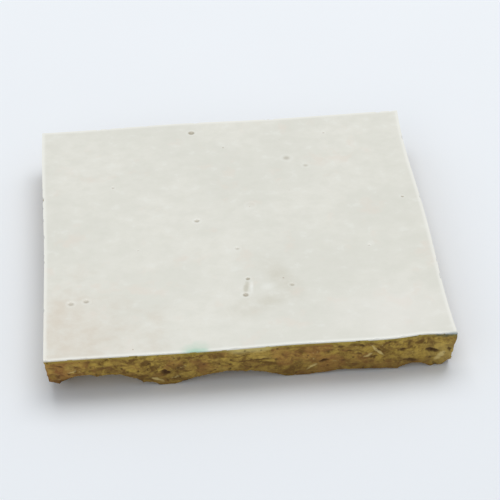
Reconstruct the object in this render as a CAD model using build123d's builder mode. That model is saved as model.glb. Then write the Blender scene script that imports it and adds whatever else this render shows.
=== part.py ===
from build123d import *
import os
from collections import namedtuple
from math import cos, hypot, pi, sqrt

# Hand-cut glazed clay mosaic tile, one fired piece. Millimetres, +Z up, glazed face up.
# The front side faces -Y. The origin is the middle of the underside.

# Blank
face_width = 100.0
face_depth = 99.5
thickness = 12.0
lip_height = 1.6

# How far the underside stands in from the glazed outline on each side
front_undercut = 2.2
right_undercut = 1.1
back_undercut = 3.0
left_undercut = 1.0

# Glazed face, which sags and swells a little as a hand-made tile does
swell_height = 0.12
swell_length = 74.0
ripple_height = 0.05
ripple_length = 41.0
edge_fall = 0.15
skin_rows = 11
skin_margin = 4.0

# A corner of the glazed outline is trimmed in from the corner of the plain rectangle.
Trim = namedtuple("Trim", "in_x in_y")
front_left_trim = Trim(0.05, 0.30)
front_right_trim = Trim(0.05, 0.30)
back_right_trim = Trim(0.10, 0.05)
back_left_trim = Trim(0.20, 0.40)

# A dip is where the glazed outline stands in from that rectangle. Its place is a share of half
# the side, from -1 at the left end to 1 at the right end, seen from outside the tile.
Dip = namedtuple("Dip", "place depth")
front_dips = [Dip(-0.60, 0.25), Dip(-0.12, 0.02), Dip(0.20, 0.30), Dip(0.56, 0.05)]
front_dips += [Dip(0.74, 0.40), Dip(0.85, 1.00), Dip(0.93, 0.70)]
right_dips = [Dip(-0.55, 0.45), Dip(0.02, 0.10), Dip(0.48, 0.60)]
back_dips = [Dip(-0.66, 0.20), Dip(-0.14, 0.50), Dip(0.24, 0.15), Dip(0.62, 0.40)]
left_dips = [Dip(-0.40, 0.20), Dip(0.12, 0.45), Dip(0.64, 0.25)]

# The outline of the underside is straighter and keeps this share of each dip.
under_dip_share = 0.15

# A bite is one scoop that the cutter's hammer takes out of the lower edge. It is as long as
# length along that edge, climbs the side by rise and eats into the underside by reach.
Bite = namedtuple("Bite", "place length rise reach")
front_bites = [
    Bite(-0.81, 15.0, 5.3, 5.8),
    Bite(-0.70, 19.0, 4.9, 6.4),
    Bite(-0.51, 6.5, 1.3, 2.4),
    Bite(-0.10, 27.5, 3.2, 5.4),
    Bite(0.49, 24.0, 0.9, 3.0),
    Bite(0.795, 8.0, 1.6, 2.4),
]
right_bites = [
    Bite(-0.70, 21.0, 4.6, 5.8),
    Bite(-0.22, 19.0, 2.6, 4.4),
    Bite(0.08, 11.0, 1.4, 2.6),
    Bite(0.58, 27.0, 5.2, 6.6),
    Bite(0.80, 12.0, 3.4, 4.2),
]
back_bites = [
    Bite(-0.74, 20.0, 3.4, 5.2),
    Bite(-0.34, 15.0, 4.6, 5.4),
    Bite(-0.16, 22.0, 5.4, 6.8),
    Bite(0.30, 18.0, 1.6, 3.4),
    Bite(0.66, 25.0, 4.4, 6.0),
    Bite(0.86, 9.0, 2.6, 3.2),
]
left_bites = [
    Bite(-0.66, 22.0, 3.8, 5.4),
    Bite(-0.30, 10.0, 1.8, 2.8),
    Bite(-0.02, 25.0, 5.6, 7.0),
    Bite(0.20, 13.0, 4.2, 4.6),
    Bite(0.56, 17.0, 1.8, 3.6),
    Bite(0.80, 14.0, 3.6, 4.4),
]

# A chip takes off the lower tip of a corner. It climbs the corner by rise and eats into the
# underside by reach, along the line to the opposite corner. Its hollow has the given radius.
Chip = namedtuple("Chip", "rise reach radius")
front_left_chip = Chip(4.0, 5.2, 24.0)
front_right_chip = Chip(2.4, 1.8, 12.0)
back_right_chip = Chip(5.4, 6.4, 14.0)
back_left_chip = Chip(4.4, 5.2, 12.0)

# Half spans of the glazed outline and of the underside
half_width = face_width / 2
half_depth = face_depth / 2
lip_level = thickness - lip_height
under_left = half_width - left_undercut
under_right = half_width - right_undercut
under_front = half_depth - front_undercut
under_back = half_depth - back_undercut


def side_points(start, end, first_trim, last_trim, dips, dip_share):
    """Points along one side of a rectangle, its ends trimmed and each dip set in to the left."""
    along = (end - start).normalized()
    inward = along.rotate(Axis.Z, 90)
    middle = (start + end) / 2
    half_side = (end - start).length / 2
    spots = [middle + along * half_side * dip.place for dip in dips]
    inner = [spot + inward * dip.depth * dip_share for spot, dip in zip(spots, dips)]
    return [start + first_trim, *inner, end + last_trim]


def outline(left, right, front, back, dip_share=1.0):
    """Closed hand-cut outline, walked anticlockwise from the front left corner."""
    corners = [Vector(-left, -front), Vector(right, -front), Vector(right, back), Vector(-left, back)]
    trims = [
        Vector(front_left_trim.in_x, front_left_trim.in_y),
        Vector(-front_right_trim.in_x, front_right_trim.in_y),
        Vector(-back_right_trim.in_x, -back_right_trim.in_y),
        Vector(back_left_trim.in_x, -back_left_trim.in_y),
    ]
    for side, dips in enumerate([front_dips, right_dips, back_dips, left_dips]):
        after = (side + 1) % 4
        points = side_points(corners[side], corners[after], trims[side], trims[after], dips, dip_share)
        Spline(*points)


def face_level(x, y):
    """Height of the glazed face over the underside."""
    swell = swell_height * cos(2 * pi * (x + 0.35 * y) / swell_length)
    ripple = ripple_height * cos(2 * pi * (y - 0.5 * x) / ripple_length)
    fall = edge_fall * (hypot(x, y) / hypot(half_width, half_depth)) ** 2
    return thickness - swell_height - ripple_height + swell + ripple - fall


def glazed_skin():
    """Surface over the whole blank that follows the glazed face."""
    steps = [2 * row / (skin_rows - 1) - 1 for row in range(skin_rows)]
    xs = [step * (half_width + skin_margin) for step in steps]
    ys = [step * (half_depth + skin_margin) for step in steps]
    points = [[Vector(x, y, face_level(x, y)) for x in xs] for y in ys]
    return Face.make_surface_from_array_of_points(points, tol=0.005, min_deg=3)


def take_bite(turn, stand_off, half_side, undercut, bite):
    """One scoop out of the lower edge on the side at turn, stand_off from the middle.

    Its ball runs through both ends of the bite, its top on the leaning side and its innermost
    point on the underside.
    """
    half_length = bite.length / 2
    slant = hypot(lip_level, undercut)
    climb = bite.rise * slant / lip_level
    out = (half_length**2 - bite.reach**2) / (2 * bite.reach)
    along_side = (climb**2 - half_length**2) / (2 * climb)
    up = (along_side * slant - out * undercut) / lip_level
    radius = sqrt(half_length**2 + out**2 + up**2)
    with Locations(Rot(0, 0, turn) * Pos(half_side * bite.place, -stand_off - out, up)):
        Sphere(radius, mode=Mode.SUBTRACT)


def take_chip(corner_x, corner_y, lean, chip):
    """One scoop off the lower tip of a corner that leans out by lean up to the lip."""
    outward = Vector(corner_x, corner_y).normalized()
    high_out = lean * chip.rise / lip_level
    span = hypot(high_out + chip.reach, chip.rise)
    back_off = sqrt(chip.radius**2 - (span / 2) ** 2)
    out = (high_out - chip.reach) / 2 + back_off * chip.rise / span
    up = chip.rise / 2 - back_off * (high_out + chip.reach) / span
    with Locations(Vector(corner_x, corner_y) + outward * out + Vector(0, 0, up)):
        Sphere(chip.radius, mode=Mode.SUBTRACT)


with BuildPart() as tile:
    # Undercut blank: the underside is smaller than the glazed outline
    with BuildSketch(Plane.XY):
        with BuildLine():
            outline(under_left, under_right, under_front, under_back, under_dip_share)
        make_face()
    with BuildSketch(Plane.XY.offset(lip_level)):
        with BuildLine():
            outline(half_width, half_width, half_depth, half_depth)
        make_face()
    loft(ruled=True)

    # Upright lip under the glaze, taller than the tile until the glazed face trims it
    with BuildSketch(Plane.XY.offset(lip_level)):
        with BuildLine():
            outline(half_width, half_width, half_depth, half_depth)
        make_face()
    extrude(amount=2 * lip_height)

    # Glazed face
    extrude(glazed_skin(), amount=2 * lip_height, dir=(0, 0, 1), mode=Mode.SUBTRACT)

    # Chiselled lower edge
    for bite in front_bites:
        take_bite(0, under_front, half_width, front_undercut, bite)
    for bite in right_bites:
        take_bite(90, under_right, half_depth, right_undercut, bite)
    for bite in back_bites:
        take_bite(180, under_back, half_width, back_undercut, bite)
    for bite in left_bites:
        take_bite(270, under_left, half_depth, left_undercut, bite)
    take_chip(-under_left, -under_front, hypot(left_undercut, front_undercut), front_left_chip)
    take_chip(under_right, -under_front, hypot(right_undercut, front_undercut), front_right_chip)
    take_chip(under_right, under_back, hypot(right_undercut, back_undercut), back_right_chip)
    take_chip(-under_left, under_back, hypot(left_undercut, back_undercut), back_left_chip)

tile.part.label = "tile"

os.makedirs("parts", exist_ok=True)
export_step(tile.part, "parts/tile.step")
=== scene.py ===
import math
import random
from collections import namedtuple

import bpy
import numpy as np
from mathutils import Matrix, Vector, noise
from mathutils.bvhtree import BVHTree
from mathutils.geometry import delaunay_2d_cdt
from numpy.polynomial import chebyshev


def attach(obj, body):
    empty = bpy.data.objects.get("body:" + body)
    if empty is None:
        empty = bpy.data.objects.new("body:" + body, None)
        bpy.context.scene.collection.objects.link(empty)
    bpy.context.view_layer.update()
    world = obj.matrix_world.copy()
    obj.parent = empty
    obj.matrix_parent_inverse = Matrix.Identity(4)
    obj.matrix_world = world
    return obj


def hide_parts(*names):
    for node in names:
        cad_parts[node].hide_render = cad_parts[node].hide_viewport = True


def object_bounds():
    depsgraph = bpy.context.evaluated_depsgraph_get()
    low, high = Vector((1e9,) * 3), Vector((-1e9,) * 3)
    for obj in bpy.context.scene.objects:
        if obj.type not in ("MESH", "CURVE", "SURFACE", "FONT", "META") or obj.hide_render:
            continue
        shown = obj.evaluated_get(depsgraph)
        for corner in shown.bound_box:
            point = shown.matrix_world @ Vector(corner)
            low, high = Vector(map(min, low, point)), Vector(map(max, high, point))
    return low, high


# One hand-cut glazed clay tile. Its mesh is worked out in millimetres and stored in metres.
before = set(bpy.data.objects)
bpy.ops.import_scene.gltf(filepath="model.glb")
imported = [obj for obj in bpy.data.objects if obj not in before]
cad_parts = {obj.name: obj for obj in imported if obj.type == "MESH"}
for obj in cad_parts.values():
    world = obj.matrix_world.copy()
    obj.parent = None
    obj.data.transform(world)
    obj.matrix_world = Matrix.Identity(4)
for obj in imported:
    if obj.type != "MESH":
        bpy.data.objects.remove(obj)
cad_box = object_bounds()

MM = 0.001
SEED = 11
TINY = 1e-9
random.seed(SEED)
noise.seed_set(SEED)

half_x = cad_box[1].x / MM
half_y = cad_box[1].y / MM
top = cad_box[1].z / MM

# Mesh over the CAD surface. Columns run round the tile. Rings run from its face over the glazed
# edge and the side to its underside. The rest of the face and of the underside is filled in.
FRONT_COLUMNS = 330
OTHER_COLUMNS = 256
FACE_STRIP = (3.2, 2.5, 1.9, 1.4, 1.0, 0.7, 0.45, 0.25, 0.1)
LIP_STRIP = (0.1, 0.22, 0.36, 0.52, 0.72)
SIDE_RINGS = 32
UNDER_STRIP = 13.0
UNDER_RINGS = 17
EDGE_RING = len(FACE_STRIP)
SHARP_ANGLE = 48

# Points that fill in the face and the underside: their spacing, then the step between rows and
# the clearance from the ring in shares of it, and the clearance from a hollow in its radii
FACE_SPACING = 1.0
UNDER_SPACING = 1.6
ROW_STEP = 0.87
RING_CLEARANCE = 1.6
HOLLOW_CLEARANCE = 2.1
MERGE_DISTANCE = 1e-6

# The rays that find the surface start from a spine well inside the tile. The glazed outline is
# looked for a little under the face, and a ray that slips through a seam is nudged.
SPINE_INSET = 17.0
SPINE_HEIGHT = 8.5
LIP_PROBE = 0.9
EDGE_INSET = 0.05
NUDGES = (0.0, 0.003, -0.004, 0.009)

# Smooth fit of the glazed face
FACE_SAMPLES = 45
FACE_MARGIN = 1.6
FACE_DEGREES = (9, 9)

# Glaze
GLAZE_THICKNESS = 0.34
GLAZE_UNEVENNESS = 0.14
GLAZE_EDGE_SIZE = 2.3
GLAZE_RIPPLE = 0.018
GLAZE_RIPPLE_SIZE = 11
GLAZE_RIPPLE_FRACTAL = (1.0, 2.0, 3)
# Painted highlight along the glazed edge, partly a paler, thicker glaze there: how far over the face it
# reaches and where it is full
RIM_HIGHLIGHT_WIDTH = 1.4
RIM_HIGHLIGHT_FULL = 0.1

# Pinholes in the glaze. The tone is how dark the middle is.
Pinhole = namedtuple("Pinhole", "x y radius depth tone")
PINHOLES = (
    Pinhole(-8.5, 44.5, 1.05, 0.28, 1.00),
    Pinhole(-9.7, 3.0, 0.95, 0.26, 0.50),
    Pinhole(1.4, -22.9, 0.70, 0.25, 0.70),
    Pinhole(0.3, -29.3, 0.95, 0.25, 0.70),
    Pinhole(12.2, -26.5, 0.80, 0.12, 0.40),
    Pinhole(-43.0, -28.2, 0.95, 0.22, 0.40),
    Pinhole(-39.2, -27.6, 0.90, 0.20, 0.45),
    Pinhole(16.5, 29.7, 1.30, 0.08, 0.35),
    Pinhole(21.3, 25.6, 0.90, 0.08, 0.30),
    Pinhole(-0.2, -10.2, 0.80, 0.08, 0.30),
    Pinhole(45.2, 8.4, 0.55, 0.15, 0.55),
    Pinhole(-31.0, 20.5, 0.50, 0.12, 0.35),
    Pinhole(33.5, -12.0, 0.45, 0.10, 0.30),
    Pinhole(28.0, 41.0, 0.50, 0.12, 0.35),
    Pinhole(-25.5, -8.0, 0.40, 0.08, 0.30),
)
BLISTER = Pinhole(4.8, 8.4, 1.2, -0.10, 0.0)
HOLLOWS = (*PINHOLES, BLISTER)

# A pinhole's pale halo, and the rings of points round it, both in shares of its radius
HALO_MIDDLE = 1.25
HALO_REACH = 1.75
HALO_TONE = 0.25
HOLLOW_RINGS = ((0.3, 6), (0.6, 9), (0.85, 12), (1.1, 14), (1.4, 14), (1.75, 14))

# Pits and pale flakes in the clay of a side. Each has its place along the side, seen from
# outside, its height over the underside, its reach along and up the side, its lean in degrees
# and how far it goes in or stands out.
Mark = namedtuple("Mark", "place height reach rise lean depth")
FRONT_PITS = (
    Mark(-20.9, 4.5, 1.5, 1.3, -25, 1.00),
    Mark(-24.8, 7.8, 0.7, 0.9, 0, 0.35),
    Mark(-46.2, 9.2, 1.5, 0.6, -24, 0.30),
    Mark(-42.2, 8.2, 1.3, 0.5, 14, 0.26),
    Mark(-47.0, 5.0, 0.7, 1.3, 16, 0.22),
    Mark(-44.4, 6.4, 0.8, 0.5, -10, 0.20),
    Mark(17.5, 4.8, 1.6, 0.7, 14, 0.60),
    Mark(23.9, 7.8, 1.2, 0.6, 8, 0.45),
    Mark(26.7, 9.5, 1.5, 0.6, -26, 0.50),
    Mark(26.2, 6.4, 1.1, 0.6, -30, 0.35),
    Mark(29.6, 5.2, 1.6, 0.6, 24, 0.35),
    Mark(44.3, 5.4, 2.4, 0.8, -14, 0.80),
    Mark(36.8, 6.7, 1.1, 0.6, 0, 0.40),
    Mark(39.0, 2.8, 2.6, 0.8, -14, 0.35),
    Mark(48.6, 5.6, 0.8, 1.1, 0, 0.45),
    Mark(-1.8, 8.9, 2.8, 0.5, 14, 0.32),
    Mark(3.5, 6.9, 3.6, 0.5, 3, 0.30),
)
FRONT_FLAKES = (
    Mark(29.6, 8.3, 2.2, 0.35, -62, 0.08),
    Mark(31.2, 6.8, 2.4, 0.35, -52, 0.08),
    Mark(28.2, 6.0, 1.8, 0.40, 34, 0.06),
    Mark(14.6, 3.0, 2.2, 0.40, 34, 0.08),
    Mark(46.2, 3.6, 2.4, 0.80, 52, 0.04),
    Mark(-23.0, 2.0, 2.0, 0.50, -30, 0.04),
    Mark(-43.5, 7.0, 1.6, 0.40, 20, 0.05),
    Mark(-18.5, 2.6, 1.5, 0.40, 24, 0.05),
)

# Marks on each of the other sides, drawn at random within these limits
OTHER_PITS = 15
OTHER_FLAKES = 9
MARK_PLACES = (-47.0, 47.0)
MARK_HEIGHTS = (2.0, 10.2)
PIT_REACHES = (0.8, 2.2)
PIT_RISES = (0.5, 0.9)
PIT_LEANS = (-30, 30)
PIT_DEPTHS = (0.25, 0.85)
FLAKE_REACHES = (1.2, 2.6)
FLAKE_RISE = 0.4
FLAKE_LEANS = (-60, 60)
FLAKE_HEIGHT = 0.06

# Marks show on what lies within their band from the side. Their rims are ragged by so much along
# and up the side, in features of the given size. A shallow pit gets at least this much painted shade.
MARK_BAND = 8.0
RAG_ALONG = 0.55
RAG_ALONG_SIZE = 1.3
RAG_UP = 0.40
RAG_UP_SIZE = 1.1
PIT_SHADE = 0.4

# Relief of the broken clay: the size of each feature across, along and up, and its depth
BASE_DEPTH = 0.05
CHIP_SIZE = (7.5, 7.5, 4.2)
CHIP_REACH = 0.62
CHIP_DEPTH = 0.36
WARP_SIZE = (6, 6, 3.5)
WARP = 0.30
TORN_SIZE = (3.6, 3.6, 1.3)
TORN_FRACTAL = (0.9, 2.1, 4)
TORN_DEPTH = 0.15
FURROW_SIZE = (7, 7, 1.7)
FURROW_WIDTH = 0.06
FURROW_DEPTH = 0.18
# Painted shade that a furrow adds to its hollow
FURROW_SHADE = 0.4
GRIT_SIZE = 0.55
GRIT_DEPTH = 0.05
CAVITY_SIZE = (8.1, 8.1, 6.3)
CAVITY_REACH = 0.11
CAVITY_DEPTH = 0.70

# The relief grows over this range of depth under the face. It is calmer on the flat underside,
# which is told by how squarely it faces down and by its height, and along the lower edge.
RELIEF_START = (0.15, 1.7)
FLAT_FACING = (0.93, 0.995)
FLAT_HEIGHT = 0.5
FLAT_CALM = 0.72
LOW_EDGE = 2.2
LOW_EDGE_SHARE = 0.5
UNDER_RELIEF = 0.28
SCRAPE_SIZE = (16, 2.1)
SCRAPE_DEPTH = 0.05

# Small breaks along the glazed edge
SPALLS = 46
SPALL_REACHES = (0.10, 0.28)
SPALL_RADII = (0.7, 2.2)
SPALL_TILTS = (0.35, 1.1)
SPALL_RINGS = 8
SPALL_FACING_RING = EDGE_RING + 3

# Noise patterns of the materials. The size is one number or one for each axis.
Pattern = namedtuple("Pattern", "size detail roughness distortion", defaults=(0.0,))
GLAZE_PATTERNS = {
    "clouds": Pattern(19, 3, 0.55),
    "blush": Pattern(7.5, 3, 0.6),
    "mottle": Pattern(4.0, 4, 0.55),
    "fine": Pattern(0.8, 2, 0.5),
}
CLAY_PATTERNS = {
    "patches": Pattern(9, 3, 0.6),
    "streaks": Pattern((2.7, 2.7, 2.0), 5, 0.65, 0.6),
    "tones": Pattern(4.6, 3, 0.6),
    "blots": Pattern(1.9, 3, 0.6, 0.5),
    "grain": Pattern(0.7, 4, 0.7),
    "chaff": Pattern(1.6, 3, 0.6, 0.8),
    "scrapes": Pattern((14, 1.3, 6), 4, 0.55, 0.3),
}
FLOOR_PATTERNS = {"tone": Pattern(60, 2, 0.5)}

# A layer of colour shows where its pattern passes from low to high, and there it is as strong
# as its share. A stain shows on its spots, whose rims the ragged pattern breaks up. Its share is
# a number or a wear, which makes it weaker in places.
Layer = namedtuple("Layer", "pattern low high share tint")
Stain = namedtuple("Stain", "spots ragged share tint")
Spot = namedtuple("Spot", "x y reach_x reach_y turn z reach_z", defaults=(0, top, 4.0))
Wear = namedtuple("Wear", "pattern low high weakest strongest")
SPOT_RAGGEDNESS = (0.2, 0.8, -0.35, 0.35)
SPOT_FADE = (1.0, 0.1)

GLAZE_WARM = (0.81, 0.793, 0.722)
GLAZE_COOL = (0.765, 0.753, 0.682)
GLAZE_BLEND = (0.35, 0.65)
GLAZE_CLOUDING = (
    Layer("mottle", 0.42, 0.68, 0.42, (0.71, 0.70, 0.625)),
    Layer("mottle", 0.44, 0.30, 0.40, (0.86, 0.86, 0.80)),
    Layer("blush", 0.56, 0.72, 0.40, (0.80, 0.715, 0.63)),
)
ROSY_WEAR = Wear("mottle", 0.3, 0.7, 0.2625, 0.6375)
SMUDGE_WEAR = Wear("mottle", 0.3, 0.65, 0.12, 0.26)
SMUDGE_SPOTS = (Spot(9.5, -23, 15, 6, -66), Spot(5, -33, 13, 5, 23))
GLAZE_STAINS_AND_RIM_HIGHLIGHT = (
    Stain([Spot(-46, -42, 31, 29, -20)], "blush", ROSY_WEAR, (0.69, 0.60, 0.495)),
    Stain([Spot(37, -40, 26, 18)], "clouds", 0.35, (0.91, 0.875, 0.83)),
    Stain(SMUDGE_SPOTS, "clouds", SMUDGE_WEAR, (0.49, 0.43, 0.31)),
    Stain([Spot(6, -26.5, 3, 2)], "mottle", 0.50, (0.88, 0.88, 0.83)),
    # Painted highlight along the glazed edge, partly a paler, thicker glaze there
    Layer("rim", 0.0, 1.0, 0.62, (0.93, 0.925, 0.87)),
    Stain([Spot(-13.5, -48.6, 5, 3.2)], "mottle", 0.34, (0.38, 0.64, 0.48)),
    Stain([Spot(-14, -49.6, 4.8, 1.6)], "blush", 0.60, (0.30, 0.58, 0.42)),
    Stain([Spot(48, -49.9, 5.5, 1.6)], "mottle", 0.85, (0.16, 0.22, 0.24)),
)
GLAZE_MARKS = (
    Stain([Spot(0.7, -26.4, 4.2, 0.9, 80)], "mottle", 0.42, (0.42, 0.38, 0.26)),
    Stain([Spot(2.1, -26.2, 3.6, 0.8, 84)], "mottle", 0.70, (0.93, 0.93, 0.89)),
    Layer("pits", 0.0, -0.25, 0.22, (0.90, 0.90, 0.85)),
    Layer("pits", 0.0, 0.60, 0.75, (0.36, 0.31, 0.22)),
)

CLAY_DARK = (0.165, 0.088, 0.018)
CLAY_BUFF = (0.55, 0.375, 0.074)
CLAY_BLEND = (0.36, 0.65)
RED_WEAR = Wear("blots", 0.35, 0.65, 0.15, 0.9)
CLAY_LAYERS = (
    Layer("patches", 0.50, 0.66, 0.60, (0.41, 0.195, 0.055)),
    Stain([Spot(-50, -49, 15, 8, 0, 6, 9)], "patches", RED_WEAR, (0.34, 0.13, 0.045)),
    Layer("tones", 0.52, 0.70, 0.50, (0.21, 0.10, 0.032)),
    Layer("tones", 0.46, 0.30, 0.40, (0.62, 0.43, 0.105)),
    Layer("blots", 0.56, 0.72, 0.60, (0.135, 0.07, 0.02)),
    Layer("grain", 0.35, 0.70, 0.30, (0.15, 0.09, 0.025)),
    Layer("chaff", 0.64, 0.76, 0.60, (0.66, 0.50, 0.19)),
    # Painted shade: the clay darkens where its broken relief is deepest
    Layer("relief", 0.2, 0.8, 0.40, (0.17, 0.095, 0.025)),
    # Painted shade: the side darkens over its lower part, towards the underside
    Layer("depth", 4.5, 11.5, 0.50, (0.175, 0.095, 0.026)),
    Stain([Spot(50, -49, 8, 8, 0, 4, 8)], "patches", 0.50, (0.58, 0.42, 0.12)),
    Layer("depth", 1.6, 0.4, 0.60, (0.40, 0.315, 0.055)),
    Stain([Spot(-0.5, -50, 10, 3, 0, 11.2, 1.8)], "patches", 0.60, (0.76, 0.62, 0.24)),
    Stain([Spot(47, -50, 9, 4, 0, 11.5, 1.7)], "blots", 0.95, (0.06, 0.075, 0.06)),
)
CLAY_MARKS = (
    Layer("flakes", 0.1, 0.9, 0.70, (0.72, 0.57, 0.23)),
    # Painted shade: near-black in hollows, pits and furrows
    Layer("hole_shade", 0.1, 0.9, 0.85, (0.07, 0.032, 0.013)),
)

# The scraped underside, plainer than the broken sides
SCRAPED_DARK = (0.37, 0.25, 0.075)
SCRAPED_BUFF = (0.47, 0.33, 0.105)
SCRAPED_BLEND = (0.35, 0.65)
SCRAPED_LAYERS = (
    Layer("scrapes", 0.45, 0.70, 0.40, (0.27, 0.175, 0.05)),
    Layer("grain", 0.50, 0.75, 0.40, (0.20, 0.125, 0.035)),
)
SCRAPED_SHARE = (0.1, 1.0, 0.0, 0.85)

# Specks in the glaze, and pore specks in the clay with painted shade in them: their spacing, where they
# end and where they are full in shares of it, the limits on the number that each draws to show,
# and their colour
Specks = namedtuple("Specks", "spacing rim core hidden shown share tint")
GLAZE_SPECKS = Specks(5.5, 0.055, 0.02, 0.80, 0.82, 0.6, (0.34, 0.24, 0.15))
CLAY_SHADED_PORES = Specks(1.25, 0.34, 0.12, 0.60, 0.66, 0.6, (0.085, 0.045, 0.016))

# Roughness as a ramp of a pattern, and bumps by their depth in millimetres and their strength
GLAZE_ROUGHNESS = (0.3, 0.7, 0.16, 0.27)
GLAZE_IOR = 1.5
GLAZE_SKIN_BUMP = (0.04, 0.5)
GLAZE_FINE_BUMP = (0.01, 0.4)
CLAY_ROUGHNESS = (0.3, 0.7, 0.82, 0.97)
CLAY_SPECULAR = 0.25
CLAY_STREAK_BUMP = (0.5, 0.8)
CLAY_PORE_BUMP = (0.25, 0.8)
CLAY_GRAIN_BUMP = (0.16, 0.9)
FLOOR_ROUGHNESS = 0.75

# Camera where the photograph was taken from, with a longer lens. The clip start is in metres.
CAMERA_PLACE = (-27.6, -411.0, 313.9)
CAMERA_TARGET = (3.0, -10.6, 11.5)
CAMERA_ROLL = -1.13
CAMERA_LENS = 141.5
CAMERA_CLIP_START = 0.01

# Studio, in metres
FLOOR_SIZE = 20
FLOOR_GAP = 0.00005
FLOOR_COLOURS = ((0.86, 0.885, 0.925), (0.88, 0.905, 0.945))
SKY_COLOUR = (0.93, 0.97, 1.0)
SKY_STRENGTH = 0.51
WHITE = (1.0, 1.0, 1.0)
Softbox = namedtuple("Softbox", "name place size power colour")
SOFTBOXES = (
    Softbox("overhead", (0.10, 0.35, 0.95), (1.0, 0.8), 6.0, (1.0, 0.99, 0.97)),
    Softbox("front_fill", (-0.5, -0.9, 0.6), (0.8, 0.6), 1.4, WHITE),
)


def cad_surface():
    """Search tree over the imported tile."""
    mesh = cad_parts["tile"].data
    points = [vertex.co / MM for vertex in mesh.vertices]
    return BVHTree.FromPolygons(points, [list(face.vertices) for face in mesh.polygons])


surface = cad_surface()


def hit(start, direction):
    """Where a ray from inside the tile leaves it. One that slips through a seam is tried beside it."""
    for nudge in NUDGES:
        place = surface.ray_cast(start + Vector((nudge, -nudge, nudge)), direction)[0]
        if place is not None:
            return place
    raise RuntimeError("a ray missed the tile")


def fitted_face():
    """Smooth surface through the CAD's glazed face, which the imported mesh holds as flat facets."""
    steps = np.linspace(-1, 1, FACE_SAMPLES)
    xs, ys = np.meshgrid(steps * (half_x - FACE_MARGIN), steps * (half_y - FACE_MARGIN))
    pairs = list(zip(xs.ravel(), ys.ravel()))
    up = Vector((0, 0, 1))
    heights = [hit(Vector((x, y, top - LIP_PROBE)), up).z for x, y in pairs]
    terms = chebyshev.chebvander2d(xs.ravel() / half_x, ys.ravel() / half_y, FACE_DEGREES)
    factors = np.linalg.lstsq(terms, np.array(heights), rcond=None)[0]
    return factors.reshape(FACE_DEGREES[0] + 1, FACE_DEGREES[1] + 1)


face_factors = fitted_face()


def face_height(x, y):
    """Height of the glazed face."""
    return min(top, chebyshev.chebval2d(x / half_x, y / half_y, face_factors))


def column_places():
    """For each column, a spine point well inside the tile and the matching point of its rectangle."""
    corners = [(-half_x, -half_y), (half_x, -half_y), (half_x, half_y), (-half_x, half_y)]
    counts = [FRONT_COLUMNS, OTHER_COLUMNS, OTHER_COLUMNS, OTHER_COLUMNS]
    shrink_x = 1 - SPINE_INSET / half_x
    shrink_y = 1 - SPINE_INSET / half_y
    for side, count in enumerate(counts):
        start = Vector(corners[side])
        end = Vector(corners[(side + 1) % 4])
        for step in range(count):
            rim = start.lerp(end, step / count)
            yield Vector((rim.x * shrink_x, rim.y * shrink_y)), rim


def side_drops(edge_height):
    """How far each ring of the side lies under the glazed edge."""
    lip = LIP_STRIP[-1]
    rest = edge_height - lip
    return [*LIP_STRIP, *(lip + rest * (i + 1) / SIDE_RINGS for i in range(SIDE_RINGS))]


def column_points(spine, rim):
    """Points of one column, from the face over the glazed edge and the side to the underside."""
    outward = (rim - spine).normalized()
    stretch = (rim - spine).length / SPINE_INSET
    lip = hit(Vector((*spine, top - LIP_PROBE)), Vector((*outward, 0)))
    lip = Vector((lip.x, lip.y))
    edge_height = face_height(*(lip - outward * EDGE_INSET))
    points = []
    for inset in FACE_STRIP:
        place = lip - outward * inset * stretch
        points.append(Vector((*place, face_height(*place))))
    points.append(Vector((*lip, edge_height)))
    targets = [Vector((*lip, edge_height - drop)) for drop in side_drops(edge_height)]
    for ring in range(UNDER_RINGS):
        inset = UNDER_STRIP * (ring + 1) / UNDER_RINGS
        targets.append(Vector((*(lip - outward * inset * stretch), 0)))
    eye = Vector((*spine, SPINE_HEIGHT))
    points += [hit(eye, (target - eye).normalized()) for target in targets]
    return points


def cad_grid():
    """Points on the CAD surface, by column and ring."""
    return np.array([[tuple(point) for point in column_points(*pair)] for pair in column_places()])


def outward_normals(grid):
    """Unit normals of a grid of columns and rings."""
    along = np.roll(grid, -1, 0) - np.roll(grid, 1, 0)
    down = np.gradient(grid, axis=1)
    normals = np.cross(down, along)
    return normals / np.maximum(np.linalg.norm(normals, axis=2, keepdims=True), TINY)


def smooth_step(value, low, high):
    """0 below low, 1 above high and a soft change between."""
    share = np.clip((value - low) / (high - low), 0, 1)
    return share * share * (3 - 2 * share)


def random_marks(seed):
    """Pits and flakes for a side that isn't seen from the front."""
    draw = random.Random(seed)
    pits = []
    for _ in range(OTHER_PITS):
        limits = (MARK_PLACES, MARK_HEIGHTS, PIT_REACHES, PIT_RISES, PIT_LEANS, PIT_DEPTHS)
        pits.append(Mark(*(draw.uniform(*pair) for pair in limits)))
    flakes = []
    for _ in range(OTHER_FLAKES):
        limits = (MARK_PLACES, MARK_HEIGHTS, FLAKE_REACHES, FLAKE_LEANS)
        place, height, reach, lean = (draw.uniform(*pair) for pair in limits)
        flakes.append(Mark(place, height, reach, FLAKE_RISE, lean, FLAKE_HEIGHT))
    return pits, flakes


SIDE_MARKS = ((FRONT_PITS, FRONT_FLAKES), random_marks(1), random_marks(2), random_marks(3))


def side_marks(x, y):
    """The marks of the nearest side with the place along it, or no marks well inside the tile."""
    depths = (half_y + y, half_x - x, half_y - y, half_x + x)
    side = depths.index(min(depths))
    if depths[side] > MARK_BAND:
        return (), (), 0.0
    return *SIDE_MARKS[side], (x, y, -x, -y)[side]


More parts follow.
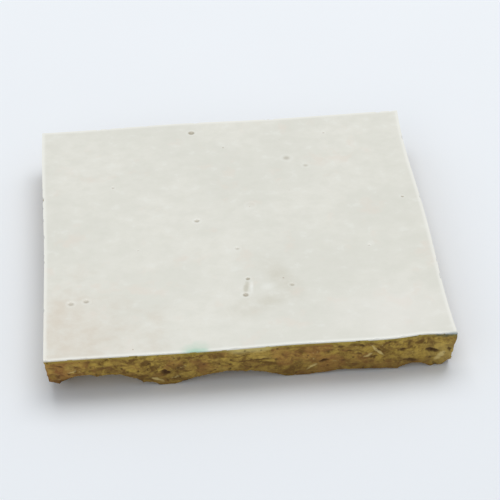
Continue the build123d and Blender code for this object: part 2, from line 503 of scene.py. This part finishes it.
def mark_share(mark, x, z):
    """1 in the middle of a mark and 0 past its ragged rim, at x along its side and z up."""
    turn = math.radians(mark.lean)
    x += RAG_ALONG * noise.noise(Vector((x / RAG_ALONG_SIZE, z / RAG_ALONG_SIZE, 4)))
    z += RAG_UP * noise.noise(Vector((x / RAG_UP_SIZE, z / RAG_UP_SIZE, 8)))
    along = (x - mark.place) * math.cos(turn) + (z - mark.height) * math.sin(turn)
    across = (z - mark.height) * math.cos(turn) - (x - mark.place) * math.sin(turn)
    return max(0.0, 1 - (along / mark.reach) ** 2 - (across / mark.rise) ** 2)


def noise_place(x, y, z, size, shift=0.0):
    """A place counted in features of the given size. The shift leads to another pattern."""
    return Vector((x / size[0] + shift, y / size[1], z / size[2]))


def dent(distance, reach):
    """1 at no distance and 0 from the reach on."""
    return max(0.0, 1 - (distance / reach) ** 2)


def clay_relief(x, y, z):
    """Depth of the broken clay under the CAD surface, the painted shade of its hollows and furrows, and
    how much of it is a flake.
    """
    warp = noise.noise_vector(noise_place(x, y, z, WARP_SIZE)) * WARP
    chip = noise.voronoi(noise_place(x, y, z, CHIP_SIZE) + warp)[0][0]
    torn = noise.fractal(noise_place(x, y, z, TORN_SIZE), *TORN_FRACTAL)
    split = noise.noise(noise_place(x, y, z, FURROW_SIZE, shift=9))
    furrow = max(0.0, 1 - abs(split) / FURROW_WIDTH)
    grit = noise.noise(Vector((x, y, z)) / GRIT_SIZE)
    cavity = noise.voronoi(noise_place(x, y, z, CAVITY_SIZE, shift=3))[0][0]
    hole = dent(cavity, CAVITY_REACH)
    depth = BASE_DEPTH + CHIP_DEPTH * dent(chip, CHIP_REACH) + TORN_DEPTH * torn
    depth += FURROW_DEPTH * furrow + GRIT_DEPTH * grit + CAVITY_DEPTH * hole
    flake = 0.0
    pits, flakes, along = side_marks(x, y)
    for mark in pits:
        share = mark_share(mark, along, z)
        depth += mark.depth * share**1.5
        # A pit's painted shade grows with its depth
        hole = max(hole, share * min(1.0, PIT_SHADE + mark.depth))
    for mark in flakes:
        share = mark_share(mark, along, z)
        depth -= mark.depth * share
        flake = max(flake, share)
    return max(0.0, depth), min(1.0, hole + FURROW_SHADE * furrow), flake


def side_relief(grid):
    """Relief, painted shade of the hollows, and flakes of the clay at every point past the glazed edge.
    """
    found = np.zeros((3, *grid.shape[:2]))
    for column in range(grid.shape[0]):
        for ring in range(EDGE_RING + 1, grid.shape[1]):
            found[:, column, ring] = clay_relief(*grid[column, ring])
    return found


def carve(points, centre, radius):
    """Pushes the points that lie in a ball out to its skin."""
    away = points - centre
    distance = np.linalg.norm(away, axis=-1, keepdims=True)
    skin = centre + away / np.maximum(distance, TINY) * radius
    return np.where(distance < radius, skin, points)


def chip_edge(grid, normals):
    """Takes small breaks out of the glazed edge."""
    near = slice(0, EDGE_RING + SPALL_RINGS)
    side_normals = normals[:, SPALL_FACING_RING] * (1, 1, 0)
    for _ in range(SPALLS):
        column = random.randrange(len(grid))
        radius = random.uniform(*SPALL_RADII)
        reach = random.uniform(*SPALL_REACHES)
        outward = side_normals[column] / np.linalg.norm(side_normals[column])
        tilt = random.uniform(*SPALL_TILTS)
        away = outward * math.cos(tilt) + np.array((0, 0, math.sin(tilt)))
        centre = grid[column, EDGE_RING] + away * (radius - reach)
        grid[:, near] = carve(grid[:, near], centre, radius)


def carved_grid():
    """The grid with its relief cut in, its depth under the glazed face and its values by name."""
    grid = cad_grid()
    normals = outward_normals(grid)
    height = grid[:, :, 2]
    face_heights = np.repeat(height[:, EDGE_RING, None], grid.shape[1], 1)
    face_heights[:, :EDGE_RING] = height[:, :EDGE_RING]
    relief, hole_shade, flakes = side_relief(grid)
    flat = smooth_step(-normals[:, :, 2], *FLAT_FACING)
    flat *= smooth_step(FLAT_HEIGHT - height, 0, FLAT_HEIGHT)
    share = smooth_step(face_heights - height, *RELIEF_START) * (1 - FLAT_CALM * flat)
    share *= LOW_EDGE_SHARE + (1 - LOW_EDGE_SHARE) * smooth_step(height, 0, LOW_EDGE)
    relief *= share
    hole_shade *= share
    grid = grid - normals * relief[:, :, None]
    chip_edge(grid, normals)
    grid[:, :, 2] = np.maximum(grid[:, :, 2], 0)
    depth = face_heights - grid[:, :, 2]
    values = {"relief": relief, "hole_shade": hole_shade, "flakes": flakes, "scraped": flat, "depth": depth}
    return grid, depth, values


def face_detail(x, y, z):
    """Glazed face with its slight ripple and pinholes, and how deep in a pinhole the point is."""
    place = Vector((x / GLAZE_RIPPLE_SIZE, y / GLAZE_RIPPLE_SIZE, 0.5))
    height = z - GLAZE_RIPPLE * (1 + noise.fractal(place, *GLAZE_RIPPLE_FRACTAL))
    pit = 0.0
    for hollow in HOLLOWS:
        away = math.hypot(x - hollow.x, y - hollow.y) / hollow.radius
        share = dent(away, 1)
        height -= hollow.depth * share**1.5
        if away < HALO_REACH:
            halo = max(0.0, 1 - abs(away - HALO_MIDDLE) / (HALO_REACH - HALO_MIDDLE))
            pit = hollow.tone * share - HALO_TONE * halo
    return min(height, top), pit


def add_face_detail(grid, values):
    """Works the ripple and the pinholes into the face strip, fading out towards the glazed edge."""
    for column in range(grid.shape[0]):
        for ring in range(EDGE_RING + 1):
            x, y, z = grid[column, ring]
            fade = 1 - ring / EDGE_RING
            height, pit = face_detail(x, y, z)
            grid[column, ring, 2] = z + (height - z) * fade
            values["pits"][column, ring] = pit * fade


def rim_highlight_share(depth):
    """How strongly the painted highlight shows: 1 on the glazed edge, less over the rim of the face,
    and 0 inside it and on the side.
    """
    inset = np.zeros(depth.shape)
    inset[:, :EDGE_RING] = FACE_STRIP
    return smooth_step(-inset, -RIM_HIGHLIGHT_WIDTH, -RIM_HIGHLIGHT_FULL) * (np.arange(depth.shape[1]) <= EDGE_RING)


def glaze_limits(edge):
    """How far down the side the glaze reaches at each column."""
    limits = [noise.noise(Vector(point) / GLAZE_EDGE_SIZE) for point in edge]
    return [GLAZE_THICKNESS + GLAZE_UNEVENNESS * limit for limit in limits]


def hollow_points():
    """Extra points round each pinhole, so that its hollow is round."""
    points = []
    for x, y, radius, _, _ in HOLLOWS:
        points.append((x, y))
        for share, count in HOLLOW_RINGS:
            turns = [2 * math.pi * (i + 0.5 * share) / count for i in range(count)]
            reach = share * radius
            points += [(x + reach * math.cos(turn), y + reach * math.sin(turn)) for turn in turns]
    return points


def staggered_points(ring, spacing, hollows):
    """Points inside a ring in staggered rows, clear of the ring's box and of each hollow."""
    low = ring.min(0) + spacing * RING_CLEARANCE
    high = ring.max(0) - spacing * RING_CLEARANCE
    points = []
    for row, y in enumerate(np.arange(low[1], high[1], spacing * ROW_STEP)):
        for x in np.arange(low[0] + spacing * 0.5 * (row % 2), high[0], spacing):
            gaps = (math.hypot(x - spot.x, y - spot.y) / spot.radius for spot in hollows)
            if all(gap > HOLLOW_CLEARANCE for gap in gaps):
                points.append((x, y))
    return points


def filling(ring, spacing, extra, hollows):
    """Triangles over the inside of a ring, from its own points, staggered rows and extra points."""
    places = [*map(tuple, ring), *staggered_points(ring, spacing, hollows), *extra]
    outline = [list(range(len(ring)))]
    made = delaunay_2d_cdt([Vector(place) for place in places], [], outline, 1, MERGE_DISTANCE, True)
    sources = [ids[0] for ids in made[3]]
    triangles = [tuple(face) for face, within in zip(made[2], made[5]) if within]
    return [tuple(place) for place in made[0]], sources, triangles


def upper_values(x, y):
    """Height and values of the glazed face inside its strip."""
    z, pit = face_detail(x, y, face_height(x, y))
    return z, {"pits": pit, "depth": top - z}


def lower_values(x, y):
    """Height and values of the scraped underside inside its strip."""
    rough = UNDER_RELIEF * clay_relief(x, y, 0.0)[0]
    scrape = noise.noise(Vector((x / SCRAPE_SIZE[0], y / SCRAPE_SIZE[1], 0)))
    z = rough + SCRAPE_DEPTH * (1 + scrape)
    return z, {"relief": rough, "depth": top - z, "scraped": 1.0}


class Shell:
    """Points, values and faces of the closed tile while they are put together."""

    def __init__(self, grid, values):
        self.grid = grid
        self.columns, self.rings = grid.shape[:2]
        self.points = [tuple(point) for point in grid.reshape(-1, 3)]
        self.values = {name: list(numbers.ravel()) for name, numbers in values.items()}
        self.faces = []
        self.clay = []

    def add_sides(self, depth, limits):
        """Faces between the columns, of clay where they lie deeper than the glaze."""
        for column in range(self.columns):
            after = (column + 1) % self.columns
            for ring in range(self.rings - 1):
                corners = [(column, ring), (column, ring + 1), (after, ring + 1), (after, ring)]
                self.faces.append([a * self.rings + b for a, b in corners])
                deep = sum(depth[corner] for corner in corners) / len(corners)
                self.clay.append(deep > limits[column])

    def fill(self, ring, triangulated, values_at, upward):
        """Triangles over the inside of a ring, which keeps its own points."""
        places, sources, triangles = triangulated
        numbers = []
        for place, source in zip(places, sources):
            if source < self.columns:
                numbers.append(source * self.rings + ring)
                continue
            z, found = values_at(*place)
            numbers.append(len(self.points))
            self.points.append((*place, z))
            for name, listed in self.values.items():
                listed.append(found.get(name, 0.0))
        for triangle in triangles:
            corners = [numbers[i] for i in triangle]
            self.faces.append(corners if upward else corners[::-1])
            self.clay.append(not upward)

    def mesh(self):
        """Mesh with the glaze as its first material and the clay as its second."""
        mesh = bpy.data.meshes.new("glazed_tile")
        mesh.from_pydata([Vector(point) * MM for point in self.points], [], self.faces)
        for name, numbers in self.values.items():
            layer = mesh.attributes.new(name, "FLOAT", "POINT")
            layer.data.foreach_set("value", np.array(numbers, np.float32))
        mesh.polygons.foreach_set("use_smooth", [True] * len(self.faces))
        mesh.polygons.foreach_set("material_index", [int(clay) for clay in self.clay])
        mesh.set_sharp_from_angle(angle=math.radians(SHARP_ANGLE))
        mesh.validate()
        return mesh


def tile_mesh():
    """The tile as one closed mesh with a glaze part and a clay part."""
    grid, depth, values = carved_grid()
    limits = glaze_limits(grid[:, EDGE_RING])
    # The rim value carries the painted highlight of the glazed edge, partly a paler, thicker glaze
    values["rim"] = rim_highlight_share(depth)
    values["pits"] = np.zeros(depth.shape)
    add_face_detail(grid, values)
    shell = Shell(grid, values)
    shell.add_sides(depth, limits)
    face = filling(grid[:, 0, :2], FACE_SPACING, hollow_points(), HOLLOWS)
    shell.fill(0, face, upper_values, True)
    last = shell.rings - 1
    underside = filling(grid[:, last, :2], UNDER_SPACING, [], ())
    shell.fill(last, underside, lower_values, False)
    return shell.mesh()


class Nodes:
    """A node material in the making. Its patterns are noises and the mesh's own values, by name."""

    def __init__(self, name, patterns, values=()):
        self.material = bpy.data.materials.new(name)
        self.material.use_nodes = True
        self.tree = self.material.node_tree
        self.shader = self.tree.nodes["Principled BSDF"]
        self.place = self.add("ShaderNodeTexCoord").outputs["Object"]
        self.patterns = {key: self.noise(pattern) for key, pattern in patterns.items()}
        for value in values:
            self.patterns[value] = self.add("ShaderNodeAttribute", attribute_name=value).outputs["Fac"]

    def add(self, kind, **settings):
        """A new node."""
        node = self.tree.nodes.new(kind)
        for name, value in settings.items():
            setattr(node, name, value)
        return node

    def feed(self, socket, value):
        """Links a socket to another, or sets it to a number, a vector or a colour."""
        if isinstance(value, bpy.types.NodeSocket):
            self.tree.links.new(value, socket)
        elif isinstance(value, (int, float)) or socket.type != "RGBA":
            socket.default_value = value
        else:
            socket.default_value = (*value, 1.0)

    def stretched(self, size):
        """The place counted in features of a size."""
        sizes = size if isinstance(size, tuple) else (size, size, size)
        node = self.add("ShaderNodeMapping")
        self.feed(node.inputs["Vector"], self.place)
        node.inputs["Scale"].default_value = [1 / (each * MM) for each in sizes]
        return node.outputs["Vector"]

    def noise(self, pattern):
        """A noise pattern, mostly between 0.2 and 0.8."""
        node = self.add("ShaderNodeTexNoise")
        self.feed(node.inputs["Vector"], self.stretched(pattern.size))
        node.inputs["Scale"].default_value = 1.0
        node.inputs["Detail"].default_value = pattern.detail
        node.inputs["Roughness"].default_value = pattern.roughness
        node.inputs["Distortion"].default_value = pattern.distortion
        return node.outputs["Fac"]

    def ramp(self, value, low, high, start=0.0, end=1.0):
        """A soft change from start to end while the value goes from low to high."""
        node = self.add("ShaderNodeMapRange", interpolation_type="SMOOTHSTEP")
        for name, number in (("From Min", low), ("From Max", high), ("To Min", start), ("To Max", end)):
            node.inputs[name].default_value = number
        self.feed(node.inputs["Value"], value)
        return node.outputs["Result"]

    def math(self, operation, first, second):
        """The result of a sum, a product or the like."""
        node = self.add("ShaderNodeMath", operation=operation)
        self.feed(node.inputs[0], first)
        self.feed(node.inputs[1], second)
        return node.outputs[0]

    def mix(self, share, first, second):
        """The first colour with a share of the second."""
        node = self.add("ShaderNodeMix", data_type="RGBA")
        self.feed(node.inputs["Factor"], share)
        self.feed(node.inputs[6], first)
        self.feed(node.inputs[7], second)
        return node.outputs[2]

    def spot(self, spot, ragged):
        """1 in the middle of a spot and 0 past its reach, its rim broken by a pattern."""
        node = self.add("ShaderNodeMapping", vector_type="TEXTURE")
        self.feed(node.inputs["Vector"], self.place)
        node.inputs["Location"].default_value = (spot.x * MM, spot.y * MM, spot.z * MM)
        node.inputs["Rotation"].default_value = (0, 0, math.radians(spot.turn))
        node.inputs["Scale"].default_value = (spot.reach_x * MM, spot.reach_y * MM, spot.reach_z * MM)
        length = self.add("ShaderNodeVectorMath", operation="LENGTH")
        self.feed(length.inputs[0], node.outputs["Vector"])
        jitter = self.ramp(self.patterns[ragged], *SPOT_RAGGEDNESS)
        return self.ramp(self.math("ADD", length.outputs["Value"], jitter), *SPOT_FADE)

    def stain(self, stain):
        """How strong a stain is."""
        share = self.spot(stain.spots[0], stain.ragged)
        for spot in stain.spots[1:]:
            share = self.math("MAXIMUM", share, self.spot(spot, stain.ragged))
        strength = stain.share
        if isinstance(strength, Wear):
            strength = self.ramp(self.patterns[strength.pattern], *strength[1:])
        return self.math("MULTIPLY", share, strength)

    def lay(self, colour, layers):
        """A colour with layers and stains laid over it, one after another."""
        for layer in layers:
            if isinstance(layer, Stain):
                share = self.stain(layer)
            else:
                share = self.ramp(self.patterns[layer.pattern], layer.low, layer.high, 0.0, layer.share)
            colour = self.mix(share, colour, layer.tint)
        return colour

    def specks(self, specks):
        """1 in scattered specks and 0 between them."""
        node = self.add("ShaderNodeTexVoronoi")
        self.feed(node.inputs["Vector"], self.stretched(specks.spacing))
        node.inputs["Scale"].default_value = 1.0
        drawn = self.add("ShaderNodeSeparateColor")
        self.feed(drawn.inputs["Color"], node.outputs["Color"])
        core = self.ramp(node.outputs["Distance"], specks.rim, specks.core)
        return self.math("MULTIPLY", core, self.ramp(drawn.outputs["Red"], specks.hidden, specks.shown))

    def bump(self, height, distance, strength, before=None):
        """A normal that a height tilts, on top of an earlier one."""
        node = self.add("ShaderNodeBump")
        node.inputs["Distance"].default_value = distance * MM
        node.inputs["Strength"].default_value = strength
        self.feed(node.inputs["Height"], height)
        if before:
            self.feed(node.inputs["Normal"], before)
        return node.outputs["Normal"]


def glaze_material():
    """Off-white glaze with faint clouds, stains, specks, brown pinholes and a painted highlight along
    the glazed edge, partly a paler, thicker glaze there.
    """
    n = Nodes("glaze", GLAZE_PATTERNS, ("rim", "pits"))
    colour = n.mix(n.ramp(n.patterns["clouds"], *GLAZE_BLEND), GLAZE_WARM, GLAZE_COOL)
    colour = n.lay(colour, GLAZE_CLOUDING + GLAZE_STAINS_AND_RIM_HIGHLIGHT)
    specks = n.math("MULTIPLY", n.specks(GLAZE_SPECKS), GLAZE_SPECKS.share)
    colour = n.lay(n.mix(specks, colour, GLAZE_SPECKS.tint), GLAZE_MARKS)
    n.feed(n.shader.inputs["Base Color"], colour)
    n.feed(n.shader.inputs["Roughness"], n.ramp(n.patterns["mottle"], *GLAZE_ROUGHNESS))
    n.shader.inputs["IOR"].default_value = GLAZE_IOR
    skin = n.bump(n.patterns["mottle"], *GLAZE_SKIN_BUMP)
    n.feed(n.shader.inputs["Normal"], n.bump(n.patterns["fine"], *GLAZE_FINE_BUMP, skin))
    return n.material


def scraped_colour(n):
    """Colour of the scraped underside."""
    colour = n.mix(n.ramp(n.patterns["patches"], *SCRAPED_BLEND), SCRAPED_DARK, SCRAPED_BUFF)
    return n.lay(colour, SCRAPED_LAYERS)


def clay_material():
    """Fired clay, broken and rough: olive buff with redder patches and pale flakes, with painted shade
    in its hollows, pits and pore specks, where its relief is deep and over the lower part of the side.
    """
    n = Nodes("fired_clay", CLAY_PATTERNS, ("relief", "depth", "flakes", "hole_shade", "scraped"))
    streaks = n.patterns["streaks"]
    grain = n.patterns["grain"]
    colour = n.mix(n.ramp(streaks, *CLAY_BLEND), CLAY_DARK, CLAY_BUFF)
    colour = n.lay(colour, CLAY_LAYERS)
    # Pore specks: painted shade in tiny pits, also dented by the bump further down
    shaded_pores = n.specks(CLAY_SHADED_PORES)
    colour = n.mix(n.math("MULTIPLY", shaded_pores, CLAY_SHADED_PORES.share), colour, CLAY_SHADED_PORES.tint)
    colour = n.lay(colour, CLAY_MARKS)
    scraped = n.ramp(n.patterns["scraped"], *SCRAPED_SHARE)
    n.feed(n.shader.inputs["Base Color"], n.mix(scraped, colour, scraped_colour(n)))
    n.feed(n.shader.inputs["Roughness"], n.ramp(grain, *CLAY_ROUGHNESS))
    n.shader.inputs["Specular IOR Level"].default_value = CLAY_SPECULAR
    streaked = n.bump(streaks, *CLAY_STREAK_BUMP)
    pitted = n.bump(n.math("SUBTRACT", 1, shaded_pores), *CLAY_PORE_BUMP, streaked)
    n.feed(n.shader.inputs["Normal"], n.bump(grain, *CLAY_GRAIN_BUMP, pitted))
    return n.material


def floor_material():
    """Pale matt studio floor."""
    n = Nodes("studio_floor", FLOOR_PATTERNS)
    n.feed(n.shader.inputs["Base Color"], n.mix(n.patterns["tone"], *FLOOR_COLOURS))
    n.shader.inputs["Roughness"].default_value = FLOOR_ROUGHNESS
    return n.material


def make_tile():
    """The glazed tile over its CAD solid."""
    mesh = tile_mesh()
    tile = bpy.data.objects.new("glazed_tile", mesh)
    bpy.context.scene.collection.objects.link(tile)
    mesh.materials.append(glaze_material())
    mesh.materials.append(clay_material())
    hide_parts("tile")
    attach(tile, "root")


def make_floor():
    """Level floor right under the tile."""
    bpy.ops.mesh.primitive_plane_add(size=FLOOR_SIZE, location=(0, 0, cad_box[0].z - FLOOR_GAP))
    floor = bpy.context.object
    floor.name = "floor"
    floor.data.materials.append(floor_material())


def make_camera():
    """Looks at the tile from where the photograph's camera stood."""
    place = Vector(CAMERA_PLACE) * MM
    target = Vector(CAMERA_TARGET) * MM
    data = bpy.data.cameras.new("camera")
    data.lens = CAMERA_LENS
    data.clip_start = CAMERA_CLIP_START
    camera = bpy.data.objects.new("camera", data)
    bpy.context.scene.collection.objects.link(camera)
    turn = (target - place).to_track_quat("-Z", "Y").to_matrix().to_4x4()
    roll = Matrix.Rotation(math.radians(CAMERA_ROLL), 4, "Z")
    camera.matrix_world = Matrix.Translation(place) @ turn @ roll
    bpy.context.scene.camera = camera


def make_softbox(softbox):
    """Area light that faces the tile."""
    data = bpy.data.lights.new(softbox.name, "AREA")
    data.shape = "RECTANGLE"
    data.size, data.size_y = softbox.size
    data.energy = softbox.power
    data.color = softbox.colour
    light = bpy.data.objects.new(softbox.name, data)
    light.location = softbox.place
    light.rotation_mode = "QUATERNION"
    light.rotation_quaternion = (-Vector(softbox.place)).to_track_quat("-Z", "Y")
    bpy.context.scene.collection.objects.link(light)


def make_world():
    """Even soft light, seen by the camera as white."""
    world = bpy.data.worlds.new("studio")
    bpy.context.scene.world = world
    world.use_nodes = True
    tree = world.node_tree
    soft = tree.nodes["Background"]
    soft.inputs["Color"].default_value = (*SKY_COLOUR, 1)
    soft.inputs["Strength"].default_value = SKY_STRENGTH
    white = tree.nodes.new("ShaderNodeBackground")
    white.inputs["Color"].default_value = (*WHITE, 1)
    choose = tree.nodes.new("ShaderNodeMixShader")
    path = tree.nodes.new("ShaderNodeLightPath")
    tree.links.new(path.outputs["Is Camera Ray"], choose.inputs["Fac"])
    tree.links.new(soft.outputs["Background"], choose.inputs[1])
    tree.links.new(white.outputs["Background"], choose.inputs[2])
    tree.links.new(choose.outputs["Shader"], tree.nodes["World Output"].inputs["Surface"])


make_tile()
make_floor()
make_camera()
make_world()
for softbox in SOFTBOXES:
    make_softbox(softbox)

bpy.context.scene.view_settings.view_transform = "Standard"
